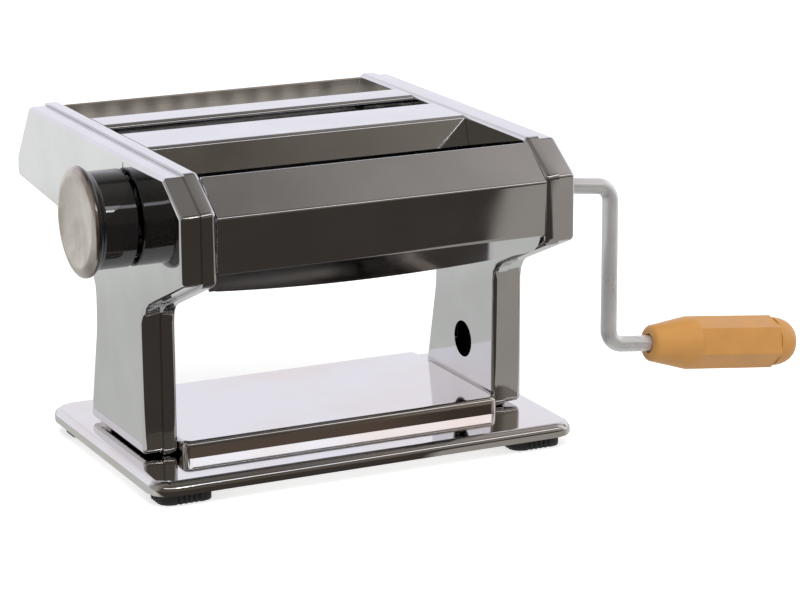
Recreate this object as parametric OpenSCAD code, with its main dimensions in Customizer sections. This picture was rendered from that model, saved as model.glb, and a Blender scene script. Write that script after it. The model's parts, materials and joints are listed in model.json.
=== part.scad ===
// Hand cranked pasta machine with a pair of smooth rollers and two pairs of cutters.
// X runs along the rollers with the crank at +X, Y runs to the back, Z is up.
// The origin is on the table, under the centre of the base's raised platform.

/* [Side plates] */
// Height of the plates' top edge above the table
top_z = 143.3; // [128:0.1:165]
// Distance from the centre to the front face
front_y = 85; // [80:0.5:95]
// Distance from the centre to the front end of the top edge
front_top_y = 65; // [60:0.5:72]
// Depth of the front slope's lower end below the top edge
front_slope_drop = 13.4; // [9:0.1:19]
// Depth of the front face's lower end below the top edge
front_drop = 44.3; // [40:0.1:49]
// Distance from the centre to the leg's front edge
leg_front_y = 37; // [32:0.5:42]
// Distance from the centre to the leg's rear edge, at the top
leg_rear_y = 22; // [16:0.5:25]
// Distance from the centre to the leg's rear edge, at the foot
leg_foot_y = 32; // [26:0.5:38]
// Depth of the arms' meeting with the leg below the top edge
leg_drop = 64.8; // [59:0.1:71]
// Length of the leg's rear edge between the rear arm and the flare
leg_straight = 20.5; // [13:0.5:30]
// Distance from the centre to the knee under the rear arm
knee_y = 67; // [60:0.5:74]
// Depth of the knee under the rear arm below the top edge
knee_drop = 43.1; // [41:0.1:47]
// Distance from the centre to the rear end
rear_y = 122.5; // [119:0.5:130]
// Depth of the rear end's lower corner below the top edge
rear_drop = 38.5; // [36:0.1:41]
// Depth of the rear slope's lower end below the top edge
rear_slope_drop = 27.3; // [21:0.1:30]
// Distance from the centre to the rear end of the top edge
rear_top_y = 103.5; // [100:0.5:108]
// Radius of the plates' outline at its outer corners
corner_r = 4; // [3:0.5:6]
// Radius where the arms run into the leg
fillet_r = 10; // [6:0.5:14]

/* [Sheet metal] */
// Sheet thickness of the inner plates
plate_sheet = 1.2; // [0.8:0.1:1.5]
// Sheet thickness of the covers, the bars and the base
cover_sheet = 1; // [0.8:0.1:1.2]
// Width of the inner plates' turned-out flange
flange_w = 6.7; // [6:0.1:9]
// Width of the side covers outside the flange
cover_w = 8.8; // [8:0.1:12]
// Depth by which a side cover's rim sits inside the flange
cover_lap = 1.8; // [1:0.1:2]
// Radius of the pressed edges
edge_r = 2.2; // [1.8:0.1:2.6]
// Inner radius of the folds
fold_r = 1.2; // [0.5:0.1:2]
// Fit between pieces that are put together
seat_gap = 0.1; // [0.05:0.01:0.2]

/* [Base] */
// Length of the base along the rollers
base_l = 204; // [196:1:240]
// Depth of the base from front to back
base_d = 133; // [116:1:150]
// Distance by which the base's middle lies ahead of its platform
base_shift = 5.4; // [0:0.1:10]
// Height of the base's flat top above the table
base_top = 11.5; // [11:0.1:15]
// Height of the base's lower edge above the table
base_low = 5.6; // [2.5:0.1:6]
// Radius of the base's corners in plan
base_corner_r = 10; // [8:0.5:20]
// Radius of the base's rolled edge
base_edge_r = 4; // [3:0.1:5]
// Height of the raised platform above the base's flat top
platform_h = 7.2; // [6:0.1:12]
// Depth of the raised platform from front to back
platform_d = 86; // [76:1:100]
// Radius of the platform's upper edge
platform_edge_r = 2.2; // [1.8:0.1:3]
// Length of a rubber foot along the rollers
foot_l = 24.5; // [15:0.5:30]
// Depth of a rubber foot
foot_d = 18; // [12:0.5:24]
// Distance from a foot to the base's rolled edge
foot_inset = 1; // [0.5:0.1:4]
// Radius of a foot's corners
foot_r = 5.5; // [5:0.5:7]
// Width of the grooves moulded round a foot
foot_rib = 1.2; // [0.8:0.1:1.6]
// Diameter of the clamp hole in the right leg
clamp_d = 17; // [12:0.5:20]
// Height of the clamp hole's centre
clamp_z = 37.3; // [30:0.1:45]
// Distance from the centre to the clamp hole, towards the front
clamp_y = 7.2; // [2:0.1:12]
// Diameter of the screws that hold the legs to the base
base_screw_d = 3; // [2:0.1:3.2]
// Distance from a base screw to the end of the leg's foot
base_screw_inset = 12; // [8:0.5:16]

/* [Covers and bars] */
// Distance from the centre to the front cover's top edge
front_cover_top_y = 68.35; // [66:0.05:72]
// Depth of the front cover's top edge below the plates' top edge
front_cover_drop = 2; // [1.2:0.1:4]
// Distance by which the front cover stands ahead of the plates' front face
front_cover_proud = 0.45; // [0.3:0.05:2]
// Depth of the front cover's upper fold below the end of the plates' front slope
front_cover_fold_drop = 2.3; // [1:0.1:4]
// Depth of the front cover's lower fold below the plates' top edge
front_cover_low_fold = 39.6; // [35:0.1:43]
// Distance from the centre to the front cover's lower edge
front_cover_low_y = 74.45; // [70:0.05:78]
// Depth of the front cover's lower edge below the plates' top edge
front_cover_low = 49.4; // [46:0.1:53]
// Distance by which the front cover's lower fold lies behind its upper fold
front_cover_lean = 1; // [0:0.1:2]
// Depth of the bars' tops below the plates' top edge
bar_drop = 0.6; // [0:0.1:2]
// Distance from the centre to the centre bar's front edge, towards the front
centre_bar_front = 8.15; // [6:0.05:10]
// Width of the centre bar
centre_bar_w = 33.3; // [30:0.1:35]
// Depth of the centre bar's front skirt
skirt_front_h = 13; // [9:0.5:14]
// Depth of the other skirts of the two bars
skirt_h = 10; // [6:0.5:11]
// Lean of the centre bar's front skirt, outwards per unit of depth
skirt_lean = 0.33; // [0:0.01:0.4]
// Distance from the centre to the cutter bar's front edge
cutter_bar_front = 43.95; // [42:0.05:46]
// Width of the cutter bar
cutter_bar_w = 19.5; // [16:0.1:22]
// Distance by which the rear cover lies inside the plates' outline
rear_cover_inset = 1; // [0.6:0.1:1.5]
// Depth of the rear cover's turned-in lip
rear_cover_lip = 9; // [5:0.5:12]
// Fall of the rear cover's lip towards its edge
rear_cover_fall = 3; // [1:0.5:4]

/* [Smooth rollers] */
// Depth of the rollers' axes below the plates' top edge
roller_drop = 26.5; // [25.5:0.1:28]
// Length of the rollers
roller_l = 150; // [130:1:170]
// Gap between a roller's end and the inner plate
roller_end_gap = 2; // [1.5:0.1:4]
// Distance from the centre to the driven roller's axis, towards the front
drive_y = 44.6; // [44:0.1:46]
// Distance from the centre to the knob's axis, towards the front
knob_y = 18.6; // [18:0.1:19.5]
// Widest gap between the rollers
gap_max = 2.4; // [2:0.1:3]
// Narrowest gap between the rollers
gap_min = 0.3; // [0.25:0.05:0.5]
// Turn of the knob from the widest gap to the narrowest
knob_range = 96; // [80:1:110]
// Number of thickness settings
settings = 9; // [5:1:10]
// Running clearance of a shaft in its bush, on the radius
run_gap = 0.05; // [0.03:0.01:0.08]
// Play of the eccentric in the roller's sleeves, on the radius
eccentric_play = 0.42; // [0.4:0.01:0.6]
// Diameter of the eccentric part of the shaft
eccentric_d = 9; // [8:0.1:9.4]
// Wall of the sleeves that the adjustable roller turns on
sleeve_wall = 1; // [0.8:0.1:1.1]
// Length of the sleeves that the adjustable roller turns on
sleeve_l = 14; // [10:0.5:20]
// Diameter of the roller journals
journal_d = 14; // [13.6:0.1:14.4]
// Diameter of the driven roller's left journal
left_journal_d = 10; // [8:0.5:12]
// Wall of the bushes in the plates
bush_wall = 1.5; // [1.2:0.1:2]
// Thickness of the bushes' flanges
bush_flange = 1; // [0.6:0.1:1.2]
// Clearance between a moving surface and a still one
free_gap = 0.3; // [0.25:0.05:0.4]
// Thickness of the scraper blades
scraper_sheet = 1; // [0.6:0.1:1.5]
// Width of a scraper's sloping blade
scraper_w = 8; // [6:0.5:10]
// Height of a scraper's sloping blade
scraper_h = 6; // [4:0.5:8]
// Height of a scraper's upright part
scraper_leg = 8; // [5:0.5:10]

/* [Gears] */
// Number of teeth of the smooth rollers' gears
roller_teeth = 12; // [12:2:14]
// Width of the gears
gear_w = 7; // [5:0.5:8]
// Pressure angle of the teeth
pressure_angle = 20; // [18:0.5:24]
// Play between the teeth at the narrowest gap, along the pitch circle
roller_gear_play = 0.7; // [0.6:0.05:1]
// Play between the cutter gears' teeth, along the pitch circle
cutter_gear_play = 0.5; // [0.4:0.05:0.7]
// Number of teeth of the cutter gears
cutter_teeth = 16; // [14:2:18]

/* [Cutters] */
// Depth of the cutters' axes below the plates' top edge
cutter_drop = 23.8; // [22.3:0.1:25.3]
// Distance from the centre to the narrow cutters' nip
narrow_y = 34.5; // [34:0.1:36]
// Distance from the centre to the wide cutters' nip
wide_y = 83; // [81.5:0.1:85]
// Distance between the two axes of a pair of cutters
cutter_spacing = 20; // [19.5:0.1:20.5]
// Depth by which the discs of a pair reach past each other
disc_overlap = 3.2; // [2:0.1:3.6]
// Radial clearance between a disc and the other cutter's core
disc_gap = 0.5; // [0.4:0.05:0.8]
// Clearance beside each disc
disc_side_gap = 0.125; // [0.1:0.005:0.2]
// Width of the strips from the narrow cutters
narrow_strip = 2; // [1.8:0.1:3]
// Width of the strips from the wide cutters
wide_strip = 6.5; // [5:0.5:8]
// Diameter of the cutters' journals
cutter_journal_d = 8; // [6:0.5:9]
// Thickness of the stripping combs
comb_sheet = 1; // [0.6:0.1:1.5]
// Depth of the bar that carries a comb's fingers
comb_bar_h = 3.2; // [2:0.1:4]

/* [Tie rods] */
// Diameter of the tie rods
tie_d = 8; // [6:0.5:9]
// Diameter of the tie rod screws
tie_screw_d = 5; // [3:0.5:5]
// Head diameter of the tie rod screws
tie_head_d = 8.5; // [7:0.5:9]
// Head height of the tie rod screws
tie_head_h = 2.5; // [1.5:0.1:3]
// Reach of the tie rod screws into a rod
tie_reach = 10; // [6:0.5:20]
// Distance from the front tie rod to the plates' front face
tie_front_inset = 13; // [9:0.5:15]
// Distance from the front tie rod to the front face's lower end
tie_front_rise = 6; // [6:0.5:9]
// Depth of the middle tie rod below the rollers' axes
tie_middle_drop = 6; // [4:0.5:8]
// Distance from the rear tie rod to the plates' rear end
tie_rear_inset = 11; // [9:0.5:13]
// Distance from the rear tie rod to the rear end's lower corner
tie_rear_rise = 6.5; // [6.5:0.5:8]

/* [Knob] */
// Diameter of the knob's rim
knob_rim_d = 48.4; // [44:0.1:54]
// Width of the shoulder between the knob's barrel and its rim
knob_rim_w = 4.7; // [4:0.1:6]
// Diameter of the knob's barrel
knob_barrel_d = 42.6; // [40:0.1:44]
// Length of the knob's barrel
knob_barrel_l = 14.2; // [12:0.1:16]
// Gap between the knob's barrel and the side cover
knob_gap = 1.2; // [0.8:0.1:4]
// Wall of the knob's barrel
knob_wall = 2.5; // [1.5:0.1:3]
// Thickness of the knob's web
knob_web = 2.5; // [2:0.1:4]
// Distance from the knob's web to the end of the barrel
knob_recess = 2; // [1:0.1:3]
// Diameter of the adjuster shaft's journals
shaft_d = 8; // [7:0.1:8.4]
// Diameter of the shaft's threaded end
shaft_end_d = 6; // [5:0.1:6.4]
// Depth by which the knob's cap sits in the rim
knob_cap_t = 1.6; // [1.2:0.1:2.2]
// Height of the cap's rounded lip above the rim
knob_crown = 2.4; // [2:0.1:3.5]
// Width of the cap's rounded lip
knob_lip_w = 4.5; // [3:0.1:6]
// Depth of the dish in the knob's cap
knob_dish = 2; // [0.8:0.1:2]
// Diameter of the index pin
index_pin_d = 2.2; // [1.6:0.1:2.4]
// Radius of the ring of index holes
index_r = 16.4; // [16.2:0.1:17]
// Wire diameter of the knob spring
spring_wire = 0.8; // [0.6:0.05:0.85]
// Mean diameter of the knob spring
spring_d = 12.4; // [11:0.1:14]
// Turns of the knob spring
spring_turns = 4; // [2:0.5:4]

/* [Crank] */
// Diameter of the crank rod
rod_d = 7.4; // [6:0.1:7.8]
// Depth by which the crank sits in its socket
crank_insert = 14; // [12:0.5:14]
// Depth of the crank sockets
socket_depth = 15; // [14.5:0.1:15.2]
// Distance from the side cover to the crank arm
crank_reach = 39.9; // [34:0.1:50]
// Length of the crank arm between its bends
crank_arm = 71.6; // [60:0.1:85]
// Distance from the crank arm to the end of the grip
crank_handle = 97.8; // [92:0.1:115]
// Radius of the crank's bends
crank_bend = 6.5; // [5:0.5:14]
// Droop of the crank in its loose socket
crank_droop = 6.2; // [0:0.1:7]
// Turn of the hanging crank towards the front
crank_turn = 11.1; // [-30:0.1:30]
// Diameter of the cross key in the crank's end
key_d = 2.4; // [1.8:0.1:2.6]
// Length of the grip without its end cap
grip_l = 65.5; // [50:0.5:70]
// Length of the grip's tapered neck
grip_neck = 22.5; // [15:0.5:26]
// Diameter of the grip's small end
grip_tip_d = 17; // [14:0.5:18]
// Diameter of the hole's wider mouth in the grip's small end
grip_mouth_d = 8.8; // [8.2:0.1:10]
// Largest diameter of the grip
grip_d = 24.4; // [20:0.1:26]
// Depth of the flats cut into the grip
grip_flat = 1.55; // [0.6:0.05:1.6]
// Number of flats round the grip
grip_flats = 6; // [5:1:8]
// Turn of the flats round the grip
grip_flat_turn = 25; // [0:1:60]
// Length of the grip's end cap
cap_l = 11.4; // [8:0.1:14]
// Diameter of the grip's end cap
cap_d = 22.6; // [18:0.1:23]

/* [Hidden] */
$fn = 64;

// Small amount by which a cut runs past a face
cut = 1;
// Segments of a corner's arc and of a pressed edge
corner_steps = 3;
edge_steps = 4;

// Heights of the head, all measured from the plates' top edge
front_slope_z = top_z - front_slope_drop;
front_bottom_z = top_z - front_drop;
leg_top_z = top_z - leg_drop;
leg_flare_z = leg_top_z - leg_straight;
knee_z = top_z - knee_drop;
rear_bottom_z = top_z - rear_drop;
rear_slope_z = top_z - rear_slope_drop;
roller_z = top_z - roller_drop;
cutter_z = top_z - cutter_drop;

// Faces across the machine, from the centre outwards
plate_gap = roller_l + 2 * roller_end_gap;
plate_in = plate_gap / 2;
plate_out = plate_in + plate_sheet;
seam_x = plate_in + flange_w;
cover_out = seam_x + cover_w;
cover_in = cover_out - cover_sheet;
cover_rim = seam_x - cover_lap;
cover_inset = plate_sheet + seat_gap;
between = plate_gap - 2 * seat_gap;

// Side outline of the inner plates, anticlockwise from the foot of the leg's front edge
side_points = [
    [-leg_front_y, base_top],
    [leg_foot_y, base_top],
    [leg_rear_y, leg_flare_z],
    [leg_rear_y, leg_top_z],
    [knee_y, knee_z],
    [rear_y, rear_bottom_z],
    [rear_y, rear_slope_z],
    [rear_top_y, top_z],
    [-front_top_y, top_z],
    [-front_y, front_slope_z],
    [-front_y, front_bottom_z],
    [-leg_front_y, leg_top_z]
];
side_radii = [
    corner_r, corner_r, 4 * fillet_r, fillet_r, 2 * fillet_r, corner_r,
    2 * corner_r, corner_r, corner_r, corner_r, corner_r, fillet_r
];

// Place in the side view from which the whole outline is in sight
side_hub = [0, (knee_z + rear_slope_z) / 2];

// Rollers: the mean distance between the axes sets their diameter
gap_travel = gap_max - gap_min;
roller_mean = drive_y - knob_y;
roller_r = (roller_mean - gap_travel / 2 - gap_min) / 2;
adjust_y = knob_y - gap_travel / 2;
eccentric_r = gap_travel / 2 / sin(knob_range / 2);
eccentric_lift = eccentric_r * (1 + cos(knob_range / 2)) / 2;
sleeve_in_r = eccentric_d / 2 + eccentric_play;
sleeve_out_r = sleeve_in_r + sleeve_wall;
gear_x = plate_out + bush_flange + free_gap;
gear_end = gear_x + gear_w;

// Cutters: the discs and cores follow from the spacing
disc_r = (cutter_spacing + disc_overlap) / 2;
core_r = cutter_spacing - disc_r - disc_gap;
comb_top = cutter_z - core_r - free_gap;

// Crank sockets
socket_mouth = cover_out - seat_gap;
socket_pivot = socket_mouth - crank_insert / 2;
socket_bore_r = rod_d / 2 / cos(crank_droop) + crank_insert / 2 * tan(crank_droop) + free_gap;
socket_plug_d = 10;
socket_plug_l = 8;
socket_floor = socket_mouth - socket_depth;
key_slot = key_d + 2 * free_gap;
key_offset = 1;

// Tie rods between the plates, as places in the side view
tie_front = [-front_y + tie_front_inset, front_bottom_z + tie_front_rise];
tie_middle_y = (roller_r - adjust_y + narrow_y - cutter_spacing / 2 - disc_r) / 2;
tie_middle = [tie_middle_y, roller_z - tie_middle_drop];
tie_rear = [rear_y - tie_rear_inset, rear_bottom_z + tie_rear_rise];
tie_places = [tie_front, tie_middle, tie_rear];

// Knob faces along X, measured outwards from the left side cover
knob_start = cover_out + knob_gap;
knob_flange = knob_start + knob_barrel_l;
knob_end = knob_flange + knob_rim_w;
web_in = knob_start + knob_recess;
web_out = web_in + knob_web;
knob_lip = 1.2;
nut_h = 3;
nut_flange = 1;
nut_in = knob_end - knob_cap_t - free_gap - nut_h;
shaft_tip = nut_in + nut_h;

// Places of the axes in the side view
drive_axis = [-drive_y, roller_z];
knob_axis = [-knob_y, roller_z - eccentric_lift];
adjust_axis = [-adjust_y, roller_z];
narrow_front = [narrow_y - cutter_spacing / 2, cutter_z];
narrow_rear = [narrow_y + cutter_spacing / 2, cutter_z];
wide_front = [wide_y - cutter_spacing / 2, cutter_z];
wide_rear = [wide_y + cutter_spacing / 2, cutter_z];
driven_cutters = [narrow_front, wide_front];
idle_cutters = [narrow_rear, wide_rear];

chrome = [0.78, 0.79, 0.8];
dark_chrome = [0.42, 0.41, 0.4];
taupe = [0.6, 0.56, 0.51];
steel = [0.6, 0.61, 0.62];
roller_steel = [0.68, 0.69, 0.7];
brass = [0.72, 0.58, 0.3];
black_rubber = [0.05, 0.05, 0.05];
nylon = [0.86, 0.85, 0.8];
ochre = [0.75, 0.54, 0.29];

// Plane geometry
function unit(v) = v / norm(v);
function left_of(a, b) = unit([a[1] - b[1], b[0] - a[0]]);
function wrap(angle) = angle - 360 * floor((angle + 180) / 360);
function reversed(list) = [for (i = [len(list) - 1:-1:0]) list[i]];

// Points of the arc that rounds corner b between a and c
function corner_arc(a, b, c, r, steps) =
    let (to_a = unit(a - b))
    let (to_c = unit(c - b))
    let (half = acos(to_a * to_c) / 2)
    let (centre = b + unit(to_a + to_c) * r / sin(half))
    let (reach = r / tan(half))
    let (first = b + to_a * reach - centre)
    let (last = b + to_c * reach - centre)
    let (start = atan2(first[1], first[0]))
    let (sweep = wrap(atan2(last[1], last[0]) - start))
    [for (k = [0:steps]) centre + r * [cos(start + sweep * k / steps), sin(start + sweep * k / steps)]];

function is_convex(a, b, c) = (b - a)[0] * (c - b)[1] - (b - a)[1] * (c - b)[0] > 0;

// An anticlockwise outline moved inwards by inset, with each corner rounded to suit
function inset_outline(points, radii, inset, steps) =
    let (n = len(points))
    let (normals = [for (i = [0:n - 1]) left_of(points[i], points[(i + 1) % n])])
    let (moved = [
        for (i = [0:n - 1])
            let (before = normals[(i + n - 1) % n])
            let (after = normals[i])
            points[i] + inset * (before + after) / (1 + before * after)
    ])
    [
        for (i = [0:n - 1])
            let (a = moved[(i + n - 1) % n])
            let (c = moved[(i + 1) % n])
            let (r = radii[i] + (is_convex(a, moved[i], c) ? -inset : inset))
            each corner_arc(a, moved[i], c, r, steps)
    ];

// A rectangle centred on the origin, as an anticlockwise outline
function rectangle(w, d) = [[-w / 2, -d / 2], [w / 2, -d / 2], [w / 2, d / 2], [-w / 2, d / 2]];

// A path moved to its left by t
function offset_path(path, t) =
    let (last = len(path) - 1)
    let (normals = [for (i = [0:last - 1]) left_of(path[i], path[i + 1])])
    [
        for (i = [0:last])
            let (before = normals[max(i - 1, 0)])
            let (after = normals[min(i, last - 1)])
            path[i] + t * (before + after) / (1 + before * after)
    ];

// One side of a folded strip: square ends, rounded folds
function fold_side(path, r) =
    let (last = len(path) - 1)
    [
        for (i = [0:last])
            each i == 0 || i == last
                ? [path[i]]
                : corner_arc(path[i - 1], path[i], path[i + 1], r, edge_steps)
    ];

// The cut edge of a sheet folded along a path, with its outer face on the path
function folded_outline(path, t) =
    concat(fold_side(path, fold_r + t), reversed(fold_side(offset_path(path, t), fold_r)));

// Involute gear tooth
function involute(angle) = tan(angle) * 180 / PI - angle;
function tooth_half_angle(r, base_r, at_base) = at_base - (r > base_r ? involute(acos(base_r / r)) : 0);

function gear_outline(teeth, base_r, root_r, tip_r, at_base) =
    let (low_r = max(base_r, root_r))
    let (levels = concat([root_r], [for (k = [0:4]) low_r + (tip_r - low_r) * k / 4]))
    let (flank = [for (r = levels) [r, tooth_half_angle(r, base_r, at_base)]])
    [
        for (i = [0:teeth - 1])
            each concat(
                [for (p = flank) p[0] * [cos(360 * i / teeth - p[1]), sin(360 * i / teeth - p[1])]],
                [for (p = reversed(flank)) p[0] * [cos(360 * i / teeth + p[1]), sin(360 * i / teeth + p[1])]]
            )
    ];

// Solids
// Middle of a ring of points
function middle_of(ring) = [for (p = ring) 1] * ring / len(ring);

// Skin through a stack of like rings, each ring anticlockwise, from low to high.
// The end faces fan out from a hub that sees the whole outline.
module loft(rings, hub = undef) {
    n = len(rings[0]);
    m = len(rings);
    hubs = [
        for (ring = [rings[0], rings[m - 1]])
            is_undef(hub) ? middle_of(ring) : [hub[0], hub[1], ring[0][2]]
    ];
    polyhedron(
        points = [for (ring = concat(rings, [hubs])) each ring],
        faces = concat(
            [for (i = [0:n - 1]) [m * n, i, (i + 1) % n]],
            [
                for (k = [0:m - 2], i = [0:n - 1])
                    let (next = (i + 1) % n)
                    [k * n + i, (k + 1) * n + i, (k + 1) * n + next, k * n + next]
            ],
            [for (i = [0:n - 1]) [m * n + 1, (m - 1) * n + (i + 1) % n, (m - 1) * n + i]]
        ),
        convexity = 8
    );
}

function ring_at(points, radii, inset, z) =
    [for (p = inset_outline(points, radii, inset, corner_steps)) [p[0], p[1], z]];

// Rings of an outline that rounds over from a flat face at height z
function rounding_rings(points, radii, round_r, inset, z) = [
    for (k = [0:edge_steps])
        let (angle = 90 * k / edge_steps)
        ring_at(points, radii, inset + round_r * (1 - sin(angle)), z + round_r * (1 - cos(angle)))
];

// Block with its rounded face at height z, grown from an outline
module rounded_block(points, radii, depth, round_r, inset = 0, z = 0) {
    loft(concat(
        rounding_rings(points, radii, round_r, inset, z),
        [ring_at(points, radii, inset, depth)]
    ));
}

// Pressed side tray in one skin: its closed face at z = 0, its rim at z = depth
module pressed_tray(points, radii, depth, sheet, round_r, inset = 0) {
    loft(concat(
        rounding_rings(points, radii, round_r, inset, 0),
        [ring_at(points, radii, inset, depth)],
        [ring_at(points, radii, inset + sheet, depth)],
        reversed(rounding_rings(points, radii, round_r - sheet, inset + sheet, sheet))
    ), side_hub);
}

// Turns the side view's axes into the machine's: its plane becomes Y and Z, its depth X
module side_view() rotate([90, 0, 90]) children();

// Moves a piece made along X to a place in the side view
module at_axis(place) translate([0, place[0], place[1]]) children();

// Solid of revolution round X from an outline of [radius, x]
module turned(outline) rotate([0, 90, 0]) rotate_extrude() polygon(outline);

// Cylinder along X between two faces
module rod_x(r, x0, x1) translate([x0, 0, 0]) rotate([0, 90, 0]) cylinder(r = r, h = x1 - x0);

// Tube along X between two faces
module tube_x(r_out, r_in, x0, x1) {
    difference() {
        rod_x(r_out, x0, x1);
        rod_x(r_in, x0 - cut, x1 + cut);
    }
}

// Sheet folded along a path in the side view, between the plates
module folded_sheet(path) {
    side_view()
        translate([0, 0, -between / 2])
            linear_extrude(height = between)
                polygon(folded_outline(path, cover_sheet));
}

// Bush in a plate: a sleeve through it and a flange on its outer side
module plate_bush(bore_r) {
    difference() {
        union() {
            rod_x(bore_r + bush_wall, plate_in, plate_out + bush_flange);
            rod_x(bore_r + 2 * bush_wall, plate_out, plate_out + bush_flange);
        }
        rod_x(bore_r, plate_in - cut, plate_out + bush_flange + cut);
    }
}

// Hole in a plate for such a bush
module plate_hole(bore_r) rod_x(bore_r + bush_wall, plate_in - cut, plate_out + cut);

module left() mirror([1, 0, 0]) children();

// Base
module base_tray() {
    plan = rectangle(base_l, base_d);
    radii = [for (i = [0:3]) base_corner_r];
    platform = rectangle(between, platform_d);
    platform_radii = [for (i = [0:3]) corner_r];
    platform_top = base_top + platform_h;
    color(chrome)
        difference() {
            union() {
                translate([0, -base_shift, base_top])
                    mirror([0, 0, 1])
                        rounded_block(plan, radii, base_top - base_low, base_edge_r);
                translate([0, 0, platform_top])
                    mirror([0, 0, 1])
                        rounded_block(
                            platform, platform_radii, platform_h + cover_sheet / 2, platform_edge_r
                        );
            }
            translate([0, -base_shift, base_top])
                mirror([0, 0, 1])
                    rounded_block(
                        plan, radii, base_top - base_low + cut, base_edge_r - cover_sheet,
                        cover_sheet, cover_sheet
                    );
            translate([0, 0, platform_top])
                mirror([0, 0, 1])
                    rounded_block(
                        platform, platform_radii, platform_h + 2 * cover_sheet,
                        platform_edge_r - cover_sheet, cover_sheet, cover_sheet
                    );
            at_base_screws()
                translate([0, 0, base_low])
                    cylinder(d = base_screw_d + 2 * seat_gap, h = base_top);
        }
}

// Places of the screws that hold the legs
module at_base_screws() {
    for (side = [-1, 1])
        for (y = [-leg_front_y + base_screw_inset, leg_foot_y - base_screw_inset])
            translate([side * (plate_out + base_screw_d / 2 + free_gap), y, 0])
                children();
}

module base_screws() {
    head_d = 2 * base_screw_d;
    head_h = 0.6 * base_screw_d;
    tip = 3;
    color(steel)
        at_base_screws()
            translate([0, 0, base_top - cover_sheet - head_h]) {
                cylinder(d = head_d, h = head_h);
                cylinder(d = base_screw_d, h = head_h + cover_sheet + plate_sheet + tip);
            }
}

// Rubber foot with a grooved lower band, standing on z = 0
module rubber_foot() {
    height = base_top - cover_sheet;
    band = base_low;
    pitch = 2 * foot_rib;
    outline = rectangle(foot_l, foot_d);
    along = floor((foot_l / 2 - foot_r) / pitch);
    across = floor((foot_d / 2 - foot_r) / pitch);
    difference() {
        linear_extrude(height = height)
            polygon(inset_outline(outline, [for (i = [0:3]) foot_r], 0, corner_steps));
        for (side = [-1, 1]) {
            for (i = [-along:along])
                translate([i * pitch - foot_rib / 2, side * foot_d / 2 - foot_rib / 2, -cut])
                    cube([foot_rib, foot_rib, band + cut - foot_rib / 2]);
            for (i = [-across:across])
                translate([side * foot_l / 2 - foot_rib / 2, i * pitch - foot_rib / 2, -cut])
                    cube([foot_rib, foot_rib, band + cut - foot_rib / 2]);
        }
    }
}

module rubber_feet() {
    foot_x = base_l / 2 - base_edge_r - foot_inset - foot_l / 2;
    foot_y = base_d / 2 - base_edge_r - foot_inset - foot_d / 2;
    color(black_rubber)
        for (x = [-foot_x, foot_x], y = [-foot_y, foot_y])
            translate([x, y - base_shift, 0])
                rubber_foot();
}

// Side plates
module inner_plate_sheet() {
    side_view()
        translate([0, 0, plate_in])
            pressed_tray(side_points, side_radii, flange_w, plate_sheet, edge_r);
}

module tie_screw_holes() {
    for (place = tie_places)
        at_axis(place)
            rod_x(tie_screw_d / 2 + seat_gap, plate_in - cut, plate_out + cut);
}

module leg_screw_holes() {
    at_base_screws()
        translate([0, 0, base_top - cut])
            cylinder(d = base_screw_d + seat_gap, h = plate_sheet + 2 * cut);
}

module left_inner_plate() {
    color(chrome)
        difference() {
            left() inner_plate_sheet();
            left() {
                tie_screw_holes();
                at_axis(drive_axis) plate_hole(left_journal_d / 2 + run_gap);
                at_axis(knob_axis) plate_hole(shaft_d / 2 + run_gap);
                for (axis = concat(driven_cutters, idle_cutters))
                    at_axis(axis) plate_hole(cutter_journal_d / 2 + run_gap);
            }
            leg_screw_holes();
        }
}

module right_inner_plate() {
    slot_r = journal_d / 2 + free_gap;
    color(chrome)
        difference() {
            inner_plate_sheet();
            tie_screw_holes();
            for (axis = concat([drive_axis], driven_cutters))
                at_axis(axis) plate_hole(journal_d / 2 + run_gap);
            for (axis = idle_cutters)
                at_axis(axis) plate_hole(cutter_journal_d / 2 + run_gap);
            for (shift = [0, -gap_travel])
                at_axis(adjust_axis + [shift, 0])
                    rod_x(slot_r, plate_in - cut, plate_out + cut);
            at_axis([-clamp_y, clamp_z])
                rod_x(clamp_d / 2, plate_in - cut, plate_out + cut);
            leg_screw_holes();
        }
}

module side_cover_sheet() {
    side_view()
        translate([0, 0, cover_out])
            mirror([0, 0, 1])
                pressed_tray(
                    side_points, side_radii, cover_out - cover_rim, cover_sheet, edge_r, cover_inset
                );
}

// Angle of each setting's index hole round the knob's axis, from the back upwards
function index_angle(i) = -knob_range / 2 + knob_range * i / (settings - 1);

module left_side_cover() {
    mark_w = 1.2;
    mark_h = 4.6;
    mark_depth = 0.4;
    mark_drop = 3.6;
    color(chrome)
        difference() {
            left() side_cover_sheet();
            at_axis(knob_axis) {
                rod_x(shaft_d / 2 + free_gap, -cover_out - cut, -cover_in + cut);
                for (i = [0:settings - 1])
                    rotate([index_angle(i), 0, 0])
                        translate([0, index_r, 0])
                            rod_x(index_pin_d / 2 + seat_gap, -cover_out - cut, -cover_in + cut);
            }
            translate([-cover_out - cut, -knob_y - mark_w / 2, top_z - mark_drop - mark_h])
                cube([cut + mark_depth, mark_w, mark_h]);
        }
}

module right_side_cover() {
    color(chrome)
        difference() {
            side_cover_sheet();
            for (axis = concat([drive_axis], driven_cutters))
                at_axis(axis)
                    rod_x(journal_d / 2 + free_gap, cover_in - cut, cover_out + cut);
        }
}

// Covers and bars
module front_cover() {
    fold_y = -front_y - front_cover_proud;
    color(chrome)
        folded_sheet([
            [-front_cover_top_y, top_z - front_cover_drop],
            [fold_y, front_slope_z - front_cover_fold_drop],
            [fold_y + front_cover_lean, top_z - front_cover_low_fold],
            [-front_cover_low_y, top_z - front_cover_low]
        ]);
}

// Bar with a flat top and two skirts, made from its rear edge to its front
module slot_bar(front, width, front_skirt, front_lean) {
    bar_z = top_z - bar_drop;
    folded_sheet([
        [front + width, bar_z - skirt_h],
        [front + width, bar_z],
        [front, bar_z],
        [front - front_skirt * front_lean, bar_z - front_skirt]
    ]);
}

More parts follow.
